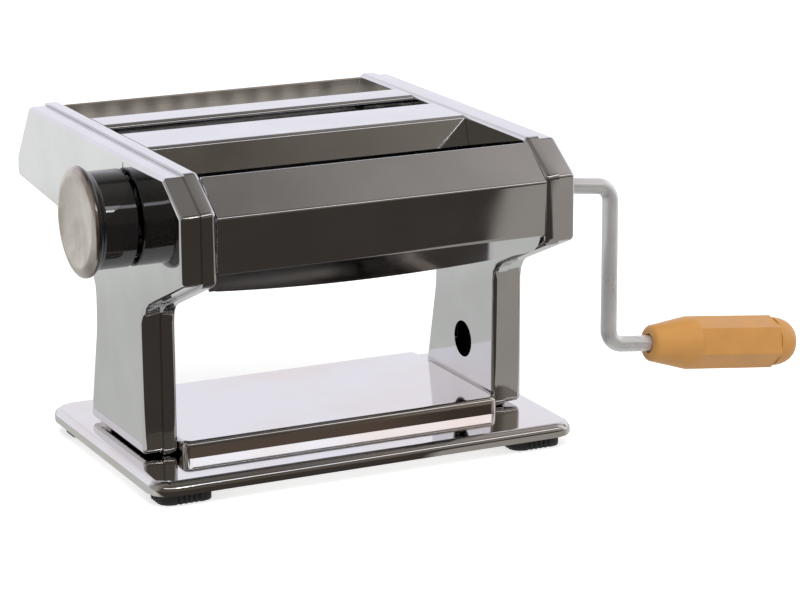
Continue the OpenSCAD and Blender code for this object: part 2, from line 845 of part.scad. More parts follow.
module centre_bar() color(chrome) slot_bar(-centre_bar_front, centre_bar_w, skirt_front_h, skirt_lean);

module cutter_bar() color(chrome) slot_bar(cutter_bar_front, cutter_bar_w, skirt_h, 0);

module rear_cover() {
    outer_y = rear_y - rear_cover_inset;
    lip_z = rear_bottom_z + 2 * rear_cover_inset;
    color(chrome)
        folded_sheet([
            [outer_y - rear_cover_lip, lip_z - rear_cover_fall],
            [outer_y, lip_z],
            [outer_y, rear_slope_z - rear_cover_inset],
            [rear_top_y - rear_cover_inset / 2, top_z - front_cover_drop]
        ]);
}

// Frame fasteners and bearings
module tie_rods() {
    color(steel)
        for (place = tie_places)
            at_axis(place)
                difference() {
                    rod_x(tie_d / 2, -plate_in, plate_in);
                    for (side = [0, 1])
                        mirror([side, 0, 0])
                            rod_x(tie_screw_d / 2 + seat_gap / 2, plate_in - tie_reach - cut, plate_in + cut);
                }
}

module tie_rod_screws() {
    color(steel)
        for (place = tie_places, side = [0, 1])
            mirror([side, 0, 0])
                at_axis(place) {
                    rod_x(tie_head_d / 2, plate_out, plate_out + tie_head_h);
                    rod_x(tie_screw_d / 2, plate_in - tie_reach, plate_out + tie_head_h / 2);
                }
}

module roller_bearings() {
    color(brass) {
        at_axis(drive_axis) plate_bush(journal_d / 2 + run_gap);
        left() at_axis(drive_axis) plate_bush(left_journal_d / 2 + run_gap);
    }
}

module cutter_bearings() {
    color(brass) {
        for (axis = driven_cutters)
            at_axis(axis) plate_bush(journal_d / 2 + run_gap);
        for (axis = idle_cutters)
            at_axis(axis) plate_bush(cutter_journal_d / 2 + run_gap);
        left()
            for (axis = concat(driven_cutters, idle_cutters))
                at_axis(axis) plate_bush(cutter_journal_d / 2 + run_gap);
    }
}

module adjuster_bearing() {
    color(brass)
        left() at_axis(knob_axis) plate_bush(shaft_d / 2 + run_gap);
}

// Cup on the right cover that carries the far end of the eccentric shaft
module adjuster_end_bush() {
    bore_r = shaft_end_d / 2 + run_gap;
    color(brass)
        at_axis(knob_axis)
            tube_x(bore_r + bush_wall, bore_r, gear_end + 2 * free_gap, cover_in);
}

// Blade under a smooth roller, sloping away towards one side
module scraper(axis, side) {
    tip = axis + [side, -roller_r - free_gap];
    path = [
        tip,
        tip + [side * scraper_w, -scraper_h],
        tip + [side * scraper_w, -scraper_h - scraper_leg]
    ];
    side_view()
        translate([0, 0, -between / 2])
            linear_extrude(height = between)
                polygon(concat(path, reversed(offset_path(path, -side * scraper_sheet))));
}

module front_scraper() color(steel) scraper(drive_axis, -1);

module rear_scraper() color(steel) scraper(adjust_axis, 1);

// Comb whose fingers stand in a cutter's grooves, under its axis
module comb(axis, strip, first) {
    cells = floor(roller_l / strip);
    start = -cells * strip / 2;
    finger = strip / 2;
    bar_top = cutter_z - disc_r - free_gap;
    translate([0, axis[0] + comb_sheet / 2, 0])
        rotate([90, 0, 0])
            linear_extrude(height = comb_sheet)
                union() {
                    translate([-between / 2, bar_top - comb_bar_h])
                        square([between, comb_bar_h]);
                    for (i = [first:2:cells - 1])
                        translate([start + (i + 0.5) * strip - finger / 2, bar_top - comb_bar_h / 2])
                            square([finger, comb_top - bar_top + comb_bar_h / 2]);
                }
}

module narrow_combs() {
    color(steel) {
        comb(narrow_front, narrow_strip, 1);
        comb(narrow_rear, narrow_strip, 0);
    }
}

module wide_combs() {
    color(steel) {
        comb(wide_front, wide_strip, 1);
        comb(wide_rear, wide_strip, 0);
    }
}

// Crank socket: a plug for the roller's end and a bored journal with two key slots
module crank_socket(turn) {
    plug_start = roller_l / 2 - socket_plug_l;
    slot_depth = crank_insert / 2 - key_offset + key_d / 2 + free_gap;
    color(steel)
        difference() {
            union() {
                rod_x(socket_plug_d / 2, plug_start, roller_l / 2 + cut);
                rod_x(journal_d / 2, roller_l / 2, socket_mouth);
            }
            rod_x(socket_bore_r, socket_floor, socket_mouth + cut);
            rotate([turn, 0, 0])
                translate([socket_mouth - slot_depth, -journal_d, -key_slot / 2])
                    cube([slot_depth + cut, 2 * journal_d, key_slot]);
        }
}

// Bore in a roller's end for a crank socket's plug
module socket_seat() {
    rod_x(socket_plug_d / 2 + seat_gap / 2, roller_l / 2 - socket_plug_l, roller_l / 2 + cut);
}

// Gear along X with its first tooth at an angle from +Y
module gear(outline, bore_r, phase, paint) {
    color(paint)
        difference() {
            side_view()
                translate([0, 0, gear_x])
                    rotate([0, 0, phase])
                        linear_extrude(height = gear_w)
                            polygon(outline);
            rod_x(bore_r, gear_x - cut, gear_end + cut);
        }
}

// Height of a tooth above the pitch circle, as a share of the pitch diameter per tooth
tooth_share = 0.85;

// Half the angle of a tooth at its base circle
function half_tooth(teeth, play, spacing, angle) =
    (360 / teeth - play / spacing * 2 * 180 / PI) / 4 + involute(angle);

// Teeth that still mesh with play when the axes are at their closest
roller_near = 2 * roller_r + gap_min;
roller_base_r = roller_mean / 2 * cos(pressure_angle);
roller_tip_r = roller_mean / 2 + tooth_share * roller_mean / roller_teeth;
roller_root_r = roller_near - roller_tip_r - free_gap;
roller_near_angle = acos(min(1, 2 * roller_base_r / roller_near));
roller_at_base = half_tooth(roller_teeth, roller_gear_play, roller_near, roller_near_angle);
roller_gear = gear_outline(roller_teeth, roller_base_r, roller_root_r, roller_tip_r, roller_at_base);

cutter_base_r = cutter_spacing / 2 * cos(pressure_angle);
cutter_tip_r = cutter_spacing / 2 + tooth_share * cutter_spacing / cutter_teeth;
cutter_root_r = cutter_spacing - cutter_tip_r - free_gap;
cutter_at_base = half_tooth(cutter_teeth, cutter_gear_play, cutter_spacing, pressure_angle);
cutter_gear = gear_outline(cutter_teeth, cutter_base_r, cutter_root_r, cutter_tip_r, cutter_at_base);

// Smooth rollers
module drive_roller() {
    color(roller_steel)
        at_axis(drive_axis)
            difference() {
                union() {
                    rod_x(roller_r, -roller_l / 2, roller_l / 2);
                    rod_x(left_journal_d / 2, -plate_out - bush_flange, -roller_l / 2 + cut);
                }
                socket_seat();
            }
}

module drive_gear() at_axis(drive_axis) gear(roller_gear, journal_d / 2 + seat_gap / 2, 0, steel);

module drive_socket() at_axis(drive_axis) crank_socket(-crank_turn);

module adjust_roller() {
    color(roller_steel)
        at_axis(adjust_axis)
            difference() {
                union() {
                    rod_x(roller_r, -roller_l / 2, roller_l / 2);
                    rod_x(journal_d / 2, roller_l / 2 - cut, gear_end + free_gap);
                }
                rod_x(sleeve_out_r + run_gap, -roller_l / 2 - cut, gear_end + cut);
            }
}

module adjust_gear() {
    at_axis(adjust_axis)
        gear(roller_gear, journal_d / 2 + seat_gap / 2, 180 / roller_teeth, steel);
}

// Nylon sleeves between the adjustable roller and the eccentric
module roller_sleeves() {
    flange_x = roller_l / 2 + free_gap;
    color(nylon)
        at_axis(adjust_axis) {
            tube_x(sleeve_out_r, sleeve_in_r, gear_end + free_gap - sleeve_l, gear_end + free_gap);
            difference() {
                union() {
                    rod_x(sleeve_out_r, -flange_x, -roller_l / 2 + sleeve_l);
                    rod_x(sleeve_out_r + sleeve_wall, -plate_in + free_gap, -flange_x);
                }
                rod_x(sleeve_in_r, -plate_in, -roller_l / 2 + sleeve_l + cut);
            }
        }
}

// Shaft on the knob's axis whose long middle part is eccentric
module eccentric_shaft() {
    left_end = -plate_in + free_gap;
    right_end = gear_end + free_gap;
    color(steel)
        at_axis(knob_axis) {
            rod_x(shaft_d / 2, -nut_in, left_end);
            rod_x(shaft_end_d / 2, -shaft_tip, -nut_in);
            translate([0, gap_travel / 2, eccentric_r * cos(knob_range / 2)])
                rod_x(eccentric_d / 2, left_end, right_end);
            rod_x(shaft_end_d / 2, right_end, cover_in - free_gap);
        }
}

// Lock nut on the shaft's end
module shaft_nut() {
    color(steel)
        at_axis(knob_axis)
            difference() {
                union() {
                    rod_x(spring_d / 2 + spring_wire, -nut_in - nut_flange, -nut_in);
                    translate([-shaft_tip, 0, 0])
                        rotate([0, 90, 0])
                            cylinder(r = shaft_end_d, h = nut_h, $fn = 6);
                }
                rod_x(shaft_end_d / 2 + seat_gap / 2, -shaft_tip - cut, -nut_in + cut);
            }
}

// Coil spring that pulls the knob back to the side cover
module knob_spring() {
    sides = 6;
    rings = 12;
    seat = free_gap / 3;
    first = web_out + seat + spring_wire / 2;
    last = nut_in - seat - spring_wire / 2;
    count = spring_turns * rings;
    function ring(k) =
        let (turn = 360 * k / rings)
        let (x = -first - (last - first) * k / count)
        [
            for (j = [0:sides - 1])
                let (angle = 360 * j / sides)
                let (r = spring_d / 2 + spring_wire / 2 * cos(angle))
                [x + spring_wire / 2 * sin(angle), r * cos(turn), r * sin(turn)]
        ];
    color(steel)
        at_axis(knob_axis)
            mirror([0, 1, 0])
                loft([for (k = [0:count]) ring(k)]);
}

// Knob
// Barrel that swells to its rim over a curved shoulder
module knob_barrel() {
    rim_r = knob_rim_d / 2;
    barrel_r = knob_barrel_d / 2;
    chamfer = 0.5;
    shoulder = knob_rim_w - chamfer;
    steps = 2 * edge_steps;
    chamber_r = spring_d / 2 + spring_wire + 2 * free_gap;
    color(dark_chrome)
        at_axis(knob_axis)
            difference() {
                left()
                    turned([
                        [0, knob_start],
                        [barrel_r - chamfer, knob_start],
                        [barrel_r, knob_start + chamfer],
                        for (k = [0:steps])
                            [
                                barrel_r + (rim_r - barrel_r) * (1 - cos(180 * k / steps)) / 2,
                                knob_flange + shoulder * k / steps
                            ],
                        [rim_r - chamfer, knob_end],
                        [0, knob_end]
                    ]);
                rod_x(barrel_r - knob_wall, -web_in, -knob_start + cut);
                rod_x(chamber_r, -knob_end - cut, -web_out);
                rod_x(shaft_d / 2 + run_gap, -knob_end, -knob_start);
                rod_x(rim_r - knob_lip, -knob_end - cut, -knob_end + knob_cap_t);
                rotate([index_angle(0), 0, 0])
                    translate([0, index_r, 0])
                        rod_x(index_pin_d / 2 + seat_gap / 2, -web_out - cut, -web_in + cut);
            }
}

// Dished cap with a rounded lip, pressed into the knob's rim
module knob_cap() {
    rim_r = knob_rim_d / 2;
    plug_r = rim_r - knob_lip - seat_gap / 2;
    seat = knob_end - knob_cap_t;
    base = knob_end + seat_gap;
    crest = knob_end + knob_crown;
    crest_r = rim_r - knob_lip_w;
    dish_r = (crest_r * crest_r + knob_dish * knob_dish) / (2 * knob_dish);
    steps = 2 * edge_steps;
    color(taupe)
        at_axis(knob_axis)
            left()
                turned([
                    [0, seat],
                    [plug_r, seat],
                    [plug_r, base],
                    for (k = [0:steps])
                        [
                            crest_r + knob_lip_w * cos(90 * k / steps),
                            base + (crest - base) * sin(90 * k / steps)
                        ],
                    for (k = [1:steps])
                        let (r = crest_r * (1 - k / steps))
                        [r, crest - knob_dish + dish_r - sqrt(dish_r * dish_r - r * r)]
                ]);
}

module index_pin() {
    color(steel)
        at_axis(knob_axis)
            rotate([index_angle(0), 0, 0])
                translate([0, index_r, 0])
                    rod_x(index_pin_d / 2, -web_out, -cover_out - free_gap);
}

// Cutters
// Outline of a cutter with discs in every second cell, and its left journal
module cutter(axis, strip, first) {
    cells = floor(roller_l / strip);
    start = -cells * strip / 2;
    color(roller_steel)
        at_axis(axis)
            turned(concat(
                [[0, -plate_out - bush_flange], [cutter_journal_d / 2, -plate_out - bush_flange]],
                [[cutter_journal_d / 2, -roller_l / 2], [core_r, -roller_l / 2]],
                [
                    for (i = [first:2:cells - 1])
                        let (x0 = start + i * strip + disc_side_gap)
                        let (x1 = start + (i + 1) * strip - disc_side_gap)
                        each [[core_r, x0], [disc_r, x0], [disc_r, x1], [core_r, x1]]
                ],
                [[core_r, roller_l / 2], [0, roller_l / 2]]
            ));
}

module driven_cutter(axis, strip) {
    difference() {
        cutter(axis, strip, 0);
        at_axis(axis) socket_seat();
    }
}

module idle_cutter(axis, strip) {
    cutter(axis, strip, 1);
    color(roller_steel)
        at_axis(axis)
            rod_x(cutter_journal_d / 2, roller_l / 2, gear_end + free_gap);
}

module driven_gear(axis) at_axis(axis) gear(cutter_gear, journal_d / 2 + seat_gap / 2, 0, steel);

module idle_gear(axis) {
    at_axis(axis)
        gear(cutter_gear, cutter_journal_d / 2 + seat_gap / 2, 180 / cutter_teeth, steel);
}

module narrow_cutter_front() driven_cutter(narrow_front, narrow_strip);
module narrow_cutter_rear() idle_cutter(narrow_rear, narrow_strip);
module narrow_gear_front() driven_gear(narrow_front);
module narrow_gear_rear() idle_gear(narrow_rear);
module narrow_socket() at_axis(narrow_front) crank_socket(0);
module wide_cutter_front() driven_cutter(wide_front, wide_strip);
module wide_cutter_rear() idle_cutter(wide_rear, wide_strip);
module wide_gear_front() driven_gear(wide_front);
module wide_gear_rear() idle_gear(wide_rear);
module wide_socket() at_axis(wide_front) crank_socket(0);

// Crank
// Frame of the hanging crank: its shaft along +X from the middle of the socket, its arm down
module crank_frame() {
    at_axis(drive_axis)
        translate([socket_pivot, 0, 0])
            rotate([-crank_turn, 0, 0])
                rotate([0, crank_droop, 0])
                    children();
}

crank_arm_x = crank_reach + (cover_out - socket_pivot) / cos(crank_droop);
rod_end_gap = 4;
cap_plug_wall = 3;
cap_plug_r = cap_d / 2 - cap_plug_wall;
grip_start = crank_arm_x + crank_handle - grip_l - cap_l;
grip_end = grip_start + grip_l;
rod_end = grip_end - rod_end_gap;

// Quarter bend of the rod, from along +X at the origin to along -Z
module rod_bend() {
    translate([0, 0, -crank_bend])
        rotate([90, 0, 0])
            rotate_extrude(angle = 90)
                translate([crank_bend, 0])
                    circle(d = rod_d);
}

module crank_rod() {
    color(steel)
        crank_frame()
            difference() {
                union() {
                    rod_x(rod_d / 2, -crank_insert / 2, crank_arm_x - crank_bend);
                    translate([crank_arm_x - crank_bend, 0, 0])
                        rod_bend();
                    translate([crank_arm_x, 0, crank_bend - crank_arm])
                        cylinder(d = rod_d, h = crank_arm - 2 * crank_bend);
                    translate([crank_arm_x + crank_bend, 0, -crank_arm])
                        rotate([0, 180, 0])
                            rod_bend();
                    translate([0, 0, -crank_arm])
                        rod_x(rod_d / 2, crank_arm_x + crank_bend, rod_end);
                }
                translate([key_offset, 0, 0])
                    rotate([90, 0, 0])
                        cylinder(d = key_d + seat_gap, h = 2 * rod_d, center = true);
            }
}

module crank_key() {
    color(steel)
        crank_frame()
            translate([key_offset, 0, 0])
                rotate([90, 0, 0])
                    cylinder(d = key_d, h = journal_d - 2 * free_gap, center = true);
}

module grip_frame() crank_frame() translate([0, 0, -crank_arm]) children();

// Grip with a tapered neck and flats from the neck to the end cap
module handle_grip() {
    grip_r = grip_d / 2;
    tip_r = grip_tip_d / 2;
    tip_round = 2;
    land = 3;
    mouth_depth = 2;
    color(ochre)
        grip_frame()
            difference() {
                turned([
                    [0, grip_start],
                    for (k = [0:edge_steps])
                        let (angle = 90 * k / edge_steps)
                        [tip_r - tip_round * (1 - sin(angle)), grip_start + tip_round * (1 - cos(angle))],
                    [grip_r, grip_start + grip_neck - land],
                    [grip_r, grip_end],
                    [0, grip_end]
                ]);
                rod_x(rod_d / 2 + run_gap, grip_start - cut, rod_end + free_gap);
                rod_x(grip_mouth_d / 2, grip_start - cut, grip_start + mouth_depth);
                rod_x(cap_plug_r + seat_gap / 2, rod_end, grip_end + cut);
                for (i = [0:grip_flats - 1])
                    rotate([grip_flat_turn + 360 * i / grip_flats, 0, 0])
                        translate([grip_start + grip_neck, -grip_r, grip_r - grip_flat])
                            cube([grip_l - grip_neck + cut, 2 * grip_r, grip_r]);
            }
}

// Rounded end cap with a plug that presses into the grip
module grip_cap() {
    r = cap_d / 2;
    fullness = 0.6;
    color(ochre)
        grip_frame()
            turned([
                [0, rod_end + 2 * free_gap],
                [cap_plug_r, rod_end + 2 * free_gap],
                [cap_plug_r, grip_end + seat_gap],
                for (k = [0:2 * edge_steps])
                    let (angle = 90 * k / (2 * edge_steps))
                    [r * pow(cos(angle), fullness), grip_end + seat_gap + (cap_l - seat_gap) * sin(angle)]
            ]);
}

base_tray();
rubber_feet();
base_screws();
left_inner_plate();
right_inner_plate();
left_side_cover();
right_side_cover();
front_cover();
centre_bar();
cutter_bar();
rear_cover();
tie_rods();
tie_rod_screws();
roller_bearings();
cutter_bearings();
adjuster_bearing();
adjuster_end_bush();
front_scraper();
rear_scraper();
narrow_combs();
wide_combs();
drive_roller();
drive_gear();
drive_socket();
adjust_roller();
adjust_gear();
roller_sleeves();
eccentric_shaft();
shaft_nut();
knob_spring();
knob_barrel();
knob_cap();
index_pin();
narrow_cutter_front();
narrow_cutter_rear();
narrow_gear_front();
narrow_gear_rear();
narrow_socket();
wide_cutter_front();
wide_cutter_rear();
wide_gear_front();
wide_gear_rear();
wide_socket();
crank_rod();
crank_key();
handle_grip();
grip_cap();
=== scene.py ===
"""Hand cranked pasta machine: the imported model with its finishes, in soft studio light."""
import json
import math

import bpy
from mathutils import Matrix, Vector


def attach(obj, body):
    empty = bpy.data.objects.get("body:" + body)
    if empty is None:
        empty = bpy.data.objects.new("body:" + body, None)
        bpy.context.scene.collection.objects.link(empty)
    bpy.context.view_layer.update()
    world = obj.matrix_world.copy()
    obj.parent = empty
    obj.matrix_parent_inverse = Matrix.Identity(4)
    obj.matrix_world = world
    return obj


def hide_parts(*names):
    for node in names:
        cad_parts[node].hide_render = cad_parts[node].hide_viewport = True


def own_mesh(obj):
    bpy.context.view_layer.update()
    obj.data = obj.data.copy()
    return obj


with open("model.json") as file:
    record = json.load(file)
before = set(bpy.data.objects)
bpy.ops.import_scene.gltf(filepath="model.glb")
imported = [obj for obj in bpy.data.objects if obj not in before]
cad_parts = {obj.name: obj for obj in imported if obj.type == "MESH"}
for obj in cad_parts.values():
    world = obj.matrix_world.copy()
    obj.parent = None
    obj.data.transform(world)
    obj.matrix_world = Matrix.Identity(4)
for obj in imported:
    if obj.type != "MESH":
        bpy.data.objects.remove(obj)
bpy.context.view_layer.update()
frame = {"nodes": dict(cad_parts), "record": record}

# Directions of the frame
RIGHTWARDS = (1.0, 0.0, 0.0)
BACKWARDS = (0.0, 1.0, 0.0)
UPWARDS = (0.0, 0.0, 1.0)

# Camera: place and reach in metres, angles in degrees, focal length in millimetres
CAMERA_PLACE = (-0.5349, -1.1905, 0.4151)
CAMERA_YAW = -26.124
CAMERA_PITCH = 15.098
CAMERA_ROLL = 0.106
CAMERA_LENS = 134.6
CAMERA_REACH = 20.0
SENSOR_WIDTH = 36.0

# Colours, linear
CHROME = (0.72, 0.72, 0.725, 1.0)
STAINED_CHROME = (0.72, 0.665, 0.63, 1.0)
# Painted light: a lighter taupe for the rear cover's inner face, a painted reflection of the room
# that brightens its shade
PAINTED_LIGHT_TAUPE = (0.95, 0.87, 0.8, 1.0)
KNOB_BLACK = (0.016, 0.016, 0.016, 1.0)
KNOB_CAP = (0.62, 0.565, 0.52, 1.0)
WORN_CAP = (0.3, 0.255, 0.225, 1.0)
STEEL = (0.5, 0.5, 0.51, 1.0)
CRANK_STEEL = (0.84, 0.84, 0.84, 1.0)
ROLLER_STEEL = (0.6, 0.6, 0.61, 1.0)
CUTTER_STEEL = (0.85, 0.84, 0.82, 1.0)
BRONZE = (0.5, 0.33, 0.13, 1.0)
NYLON = (0.72, 0.7, 0.63, 1.0)
RUBBER = (0.012, 0.012, 0.013, 1.0)
OCHRE = (0.66, 0.315, 0.075, 1.0)
WHITE = (1.0, 1.0, 1.0, 1.0)
BLACK = (0.0, 0.0, 0.0, 1.0)

# Grains: they stretch a pattern along the rollers, round them, or not at all
ALONG_ROLLERS = (0.4, 12.0, 12.0)
ROUND_ROLLERS = (50.0, 0.6, 0.6)
EVEN = (1.0, 1.0, 1.0)
GRAIN_SHADE = 0.88

# Light that the mirrors see, linear
BACK_LIGHT = (0.98, 0.97, 1.06, 1.0)
LEFT_LIGHT = (0.36, 0.34, 0.32, 1.0)
OVERHEAD_LEFT = (0.2, 0.186, 0.173, 1.0)
OVERHEAD_RIGHT = (0.7, 0.65, 0.62, 1.0)
OVERHEAD_BACK = (0.06, 0.055, 0.05, 1.0)
FRONT_LEFT = (0.1, 0.088, 0.072, 1.0)
FRONT_RIGHT = (0.45, 0.4, 0.36, 1.0)
FRONT_WINDOW = (1.62, 1.6, 1.68, 1.0)
LEVEL_LEFT = (0.105, 0.077, 0.06, 1.0)
LEVEL_RIGHT = (0.045, 0.038, 0.03, 1.0)
FLOOR_FAR = (0.93, 0.945, 0.93, 1.0)
FLOOR_NEAR = (0.6, 0.61, 0.595, 1.0)
FLOOR_FRONT = (0.05, 0.042, 0.036, 1.0)
FLOOR_FRONT_RIGHT = (0.34, 0.315, 0.29, 1.0)

# Bands of that light: a direction, and how far along it the band starts and is full.
# The sky's are parts of a direction of length 1, the floor's are in metres
SKY_BANDS = {
    "brighter": (RIGHTWARDS, 0.375, 0.6),
    "leftwards": (RIGHTWARDS, -0.5, -0.8),
    "level_right": (RIGHTWARDS, 0.42, 0.43),
    "ahead": (BACKWARDS, -0.1, -0.5),
    "window_ahead": (BACKWARDS, -0.55, -0.62),
    "behind_start": (BACKWARDS, 0.17, 0.22),
    "behind_end": (BACKWARDS, 0.4, 0.32),
    "up": (UPWARDS, 0.4, 0.85),
    "level": (UPWARDS, 0.2, 0.1),
    "window_foot": (UPWARDS, 0.535, 0.55),
    "window_head": (UPWARDS, 0.64, 0.625),
}
FLOOR_BANDS = {
    "behind": ((0.35, 1.0, 0.0), 0.18, 0.46),
    "right": ((1.0, 0.61, 0.0), -0.022, -0.014),
    "ahead": (BACKWARDS, -0.07, -0.08),
}

# Stage, in metres
FLOOR_SIZE = (16.0, 16.0)
MIDDLE = (0.03, 0.0, 0.08)


def shade(colour, factor):
    """A colour made darker or lighter by a factor."""
    return tuple(channel * factor for channel in colour[:3]) + (1.0,)


# Shader nodes
def plug(owner, value, socket):
    """Links a socket to another node's output, or sets it to a constant."""
    if isinstance(value, bpy.types.NodeSocket):
        owner.node_tree.links.new(value, socket)
    else:
        socket.default_value = value


def plug_all(owner, node, **sockets):
    """Plugs a node's named sockets. A name has underscores for its spaces."""
    for name, value in sockets.items():
        plug(owner, value, node.inputs[name.replace("_", " ")])


def add_node(owner, kind, settings=None, **sockets):
    """A node of a material or a world, with its settings made and its named sockets plugged."""
    node = owner.node_tree.nodes.new(kind)
    for name, value in (settings or {}).items():
        setattr(node, name, value)
    plug_all(owner, node, **sockets)
    return node


def combine(owner, kind, operation, first, second):
    """The number that an operation makes of two values."""
    node = add_node(owner, kind, {"operation": operation})
    plug(owner, first, node.inputs[0])
    plug(owner, second, node.inputs[1])
    return node.outputs["Value"]


def times(owner, first, second):
    """The product of two numbers."""
    return combine(owner, "ShaderNodeMath", "MULTIPLY", first, second)


def larger(owner, first, second):
    """The larger of two numbers."""
    return combine(owner, "ShaderNodeMath", "MAXIMUM", first, second)


def along(owner, vector, direction):
    """How far a vector reaches along a direction."""
    return combine(owner, "ShaderNodeVectorMath", "DOT_PRODUCT", vector, direction)


def mix(owner, factor, low, high):
    """A colour that runs from low to high as the factor runs from 0 to 1."""
    return add_node(
        owner, "ShaderNodeMix", {"data_type": "RGBA"}, Factor=factor, A=low, B=high
    ).outputs["Result"]


def spread(owner, value, start, end, low=0.0, high=1.0):
    """A number that runs from low to high as the value runs from start to end."""
    return add_node(
        owner, "ShaderNodeMapRange", Value=value,
        From_Min=start, From_Max=end, To_Min=low, To_Max=high
    ).outputs["Result"]


def band(owner, vector, direction, start, full):
    """A number that runs from 0 to 1 between two places along a direction."""
    return spread(owner, along(owner, vector, direction), start, full)


def place_on(owner, stretch=EVEN):
    """Coordinates in metres on the piece, stretched along each axis."""
    place = add_node(owner, "ShaderNodeTexCoord").outputs["Object"]
    return add_node(owner, "ShaderNodeMapping", Vector=place, Scale=stretch).outputs["Vector"]


def noise(owner, vector, scale, detail):
    """A cloudy pattern from 0 to 1."""
    return add_node(
        owner, "ShaderNodeTexNoise", Vector=vector, Scale=scale, Detail=detail
    ).outputs["Fac"]


def pattern(owner, vector, scale, detail, start, end):
    """A cloudy pattern with more contrast: what lies from start to end runs from 0 to 1."""
    return spread(owner, noise(owner, vector, scale, detail), start, end)


def bump(owner, height, strength, distance):
    """Small relief from a pattern, as a normal."""
    return add_node(
        owner, "ShaderNodeBump", Height=height, Strength=strength, Distance=distance
    ).outputs["Normal"]


# Materials
def new_material(name, **sockets):
    """A material with the named sockets of its shader plugged, and that shader."""
    material = bpy.data.materials.new(name)
    material.use_nodes = True
    shader = material.node_tree.nodes["Principled BSDF"]
    plug_all(material, shader, **sockets)
    return material, shader


def vary(material, shader, value, colour, roughness, darkest, smoothest, roughest):
    """Lets a pattern vary the colour and the roughness, by factors of them."""
    plug_all(
        material, shader,
        Base_Color=mix(material, value, shade(colour, darkest), colour),
        Roughness=spread(material, value, 0.0, 1.0, roughness * smoothest, roughness * roughest),
    )


def sheet_waves(material, place):
    """The slight waves of pressed sheet, as a normal."""
    waves = noise(material, place, scale=16.0, detail=1.0)
    return bump(material, waves, strength=0.05, distance=0.002)


def grain_lines(material, grain):
    """The fine lines of drawn or turned metal."""
    place = place_on(material, grain)
    return pattern(material, place, scale=60.0, detail=4.0, start=0.3, end=0.7)


def polished(name, colour, roughness):
    """Plated sheet: a slightly wavy mirror with faint smears."""
    material, shader = new_material(name, Metallic=1.0)
    place = place_on(material)
    smears = pattern(material, place, scale=34.0, detail=5.0, start=0.35, end=0.65)
    vary(material, shader, smears, colour, roughness, darkest=0.93, smoothest=0.7, roughest=1.6)
    plug_all(material, shader, Normal=sheet_waves(material, place))
    return material


def stained_sheet(name, colour, stained, roughness, scale=22.0):
    """Plated sheet with stains, smaller for a larger scale."""
    material, shader = new_material(name, Metallic=1.0, Roughness=roughness)
    place = place_on(material)
    stains = pattern(material, place, scale, detail=4.0, start=0.4, end=0.7)
    plug_all(
        material, shader,
        Base_Color=mix(material, stains, colour, stained),
        Normal=sheet_waves(material, place),
    )
    return material


def painted_light_inside(name, outside, inside, outside_roughness, inside_roughness):
    """Plated sheet that is bright where it faces the back; where it faces the front it is rougher,
    with fine lines, in a lighter taupe that is painted light: a painted reflection of the room,
    brighter than the shaded inside.
    """
    turning = 0.1
    material, shader = new_material(name, Metallic=1.0)
    facing = add_node(material, "ShaderNodeNewGeometry").outputs["Normal"]
    inner = band(material, facing, BACKWARDS, turning, -turning)
    # Painted reflection: the lighter taupe on the faces that turn to the front, with real fine
    # lines in it
    lines = grain_lines(material, ALONG_ROLLERS)
    painted_light = mix(material, lines, shade(inside, GRAIN_SHADE), inside)
    plug_all(
        material, shader,
        Base_Color=mix(material, inner, outside, painted_light),
        Roughness=spread(material, inner, 0.0, 1.0, outside_roughness, inside_roughness),
    )
    return material


def satin_metal(name, colour, roughness, grain, metallic=1.0):
    """Drawn or turned metal with a fine grain."""
    material, shader = new_material(name, Metallic=metallic)
    lines = grain_lines(material, grain)
    vary(
        material, shader, lines, colour, roughness,
        darkest=GRAIN_SHADE, smoothest=0.8, roughest=1.3,
    )
    plug_all(material, shader, Normal=bump(material, lines, strength=0.1, distance=0.0002))
    return material


def moulded(name, colour, roughness, tone, pits, gloss=0.5):
    """Moulded plastic or rubber: a little mottled, with a fine skin."""
    material, shader = new_material(name, Specular_IOR_Level=gloss, IOR=1.6)
    place = place_on(material)
    clouds = pattern(material, place, scale=70.0, detail=3.0, start=0.35, end=0.65)
    skin = noise(material, place, scale=900.0, detail=2.0)
    vary(material, shader, clouds, colour, roughness, darkest=tone, smoothest=0.9, roughest=1.15)
    plug_all(material, shader, Normal=bump(material, skin, strength=pits, distance=0.0003))
    return material


FINISHES = {
    "chrome": polished("chrome_sheet", CHROME, roughness=0.06),
    "knob_chrome": moulded(
        "knob_black", KNOB_BLACK, roughness=0.05, tone=0.8, pits=0.0, gloss=1.0
    ),
    "knob_cap": stained_sheet("knob_cap_metal", KNOB_CAP, WORN_CAP, roughness=0.22, scale=45.0),
    "rubber": moulded("foot_rubber", RUBBER, roughness=0.7, tone=0.7, pits=0.5),
    "bronze": satin_metal("bush_bronze", BRONZE, roughness=0.35, grain=ROUND_ROLLERS),
    "nylon": moulded("sleeve_nylon", NYLON, roughness=0.5, tone=0.94, pits=0.2),
    "grip_plastic": moulded("grip_plastic", OCHRE, roughness=0.36, tone=0.9, pits=0.12),
    "crank_steel": satin_metal(
        "crank_steel", CRANK_STEEL, roughness=0.3, grain=EVEN, metallic=0.65
    ),
    "roller_steel": satin_metal("roller_steel", ROLLER_STEEL, roughness=0.2, grain=ROUND_ROLLERS),
    "steel": satin_metal("plain_steel", STEEL, roughness=0.3, grain=EVEN),
}
CUTTERS = ("narrow_cutter_front", "narrow_cutter_rear", "wide_cutter_front", "wide_cutter_rear")
CUTTER_FINISH = satin_metal("cutter_steel", CUTTER_STEEL, roughness=0.3, grain=ROUND_ROLLERS)
NODE_FINISHES = {
    **dict.fromkeys(CUTTERS, CUTTER_FINISH),
    "base_tray": stained_sheet("base_chrome", CHROME, STAINED_CHROME, roughness=0.07),
    # The rear cover's inner face gets a painted reflection in lighter taupe
    "rear_cover": painted_light_inside(
        "rear_cover_chrome", CHROME, PAINTED_LIGHT_TAUPE, outside_roughness=0.07, inside_roughness=0.4
    ),
}


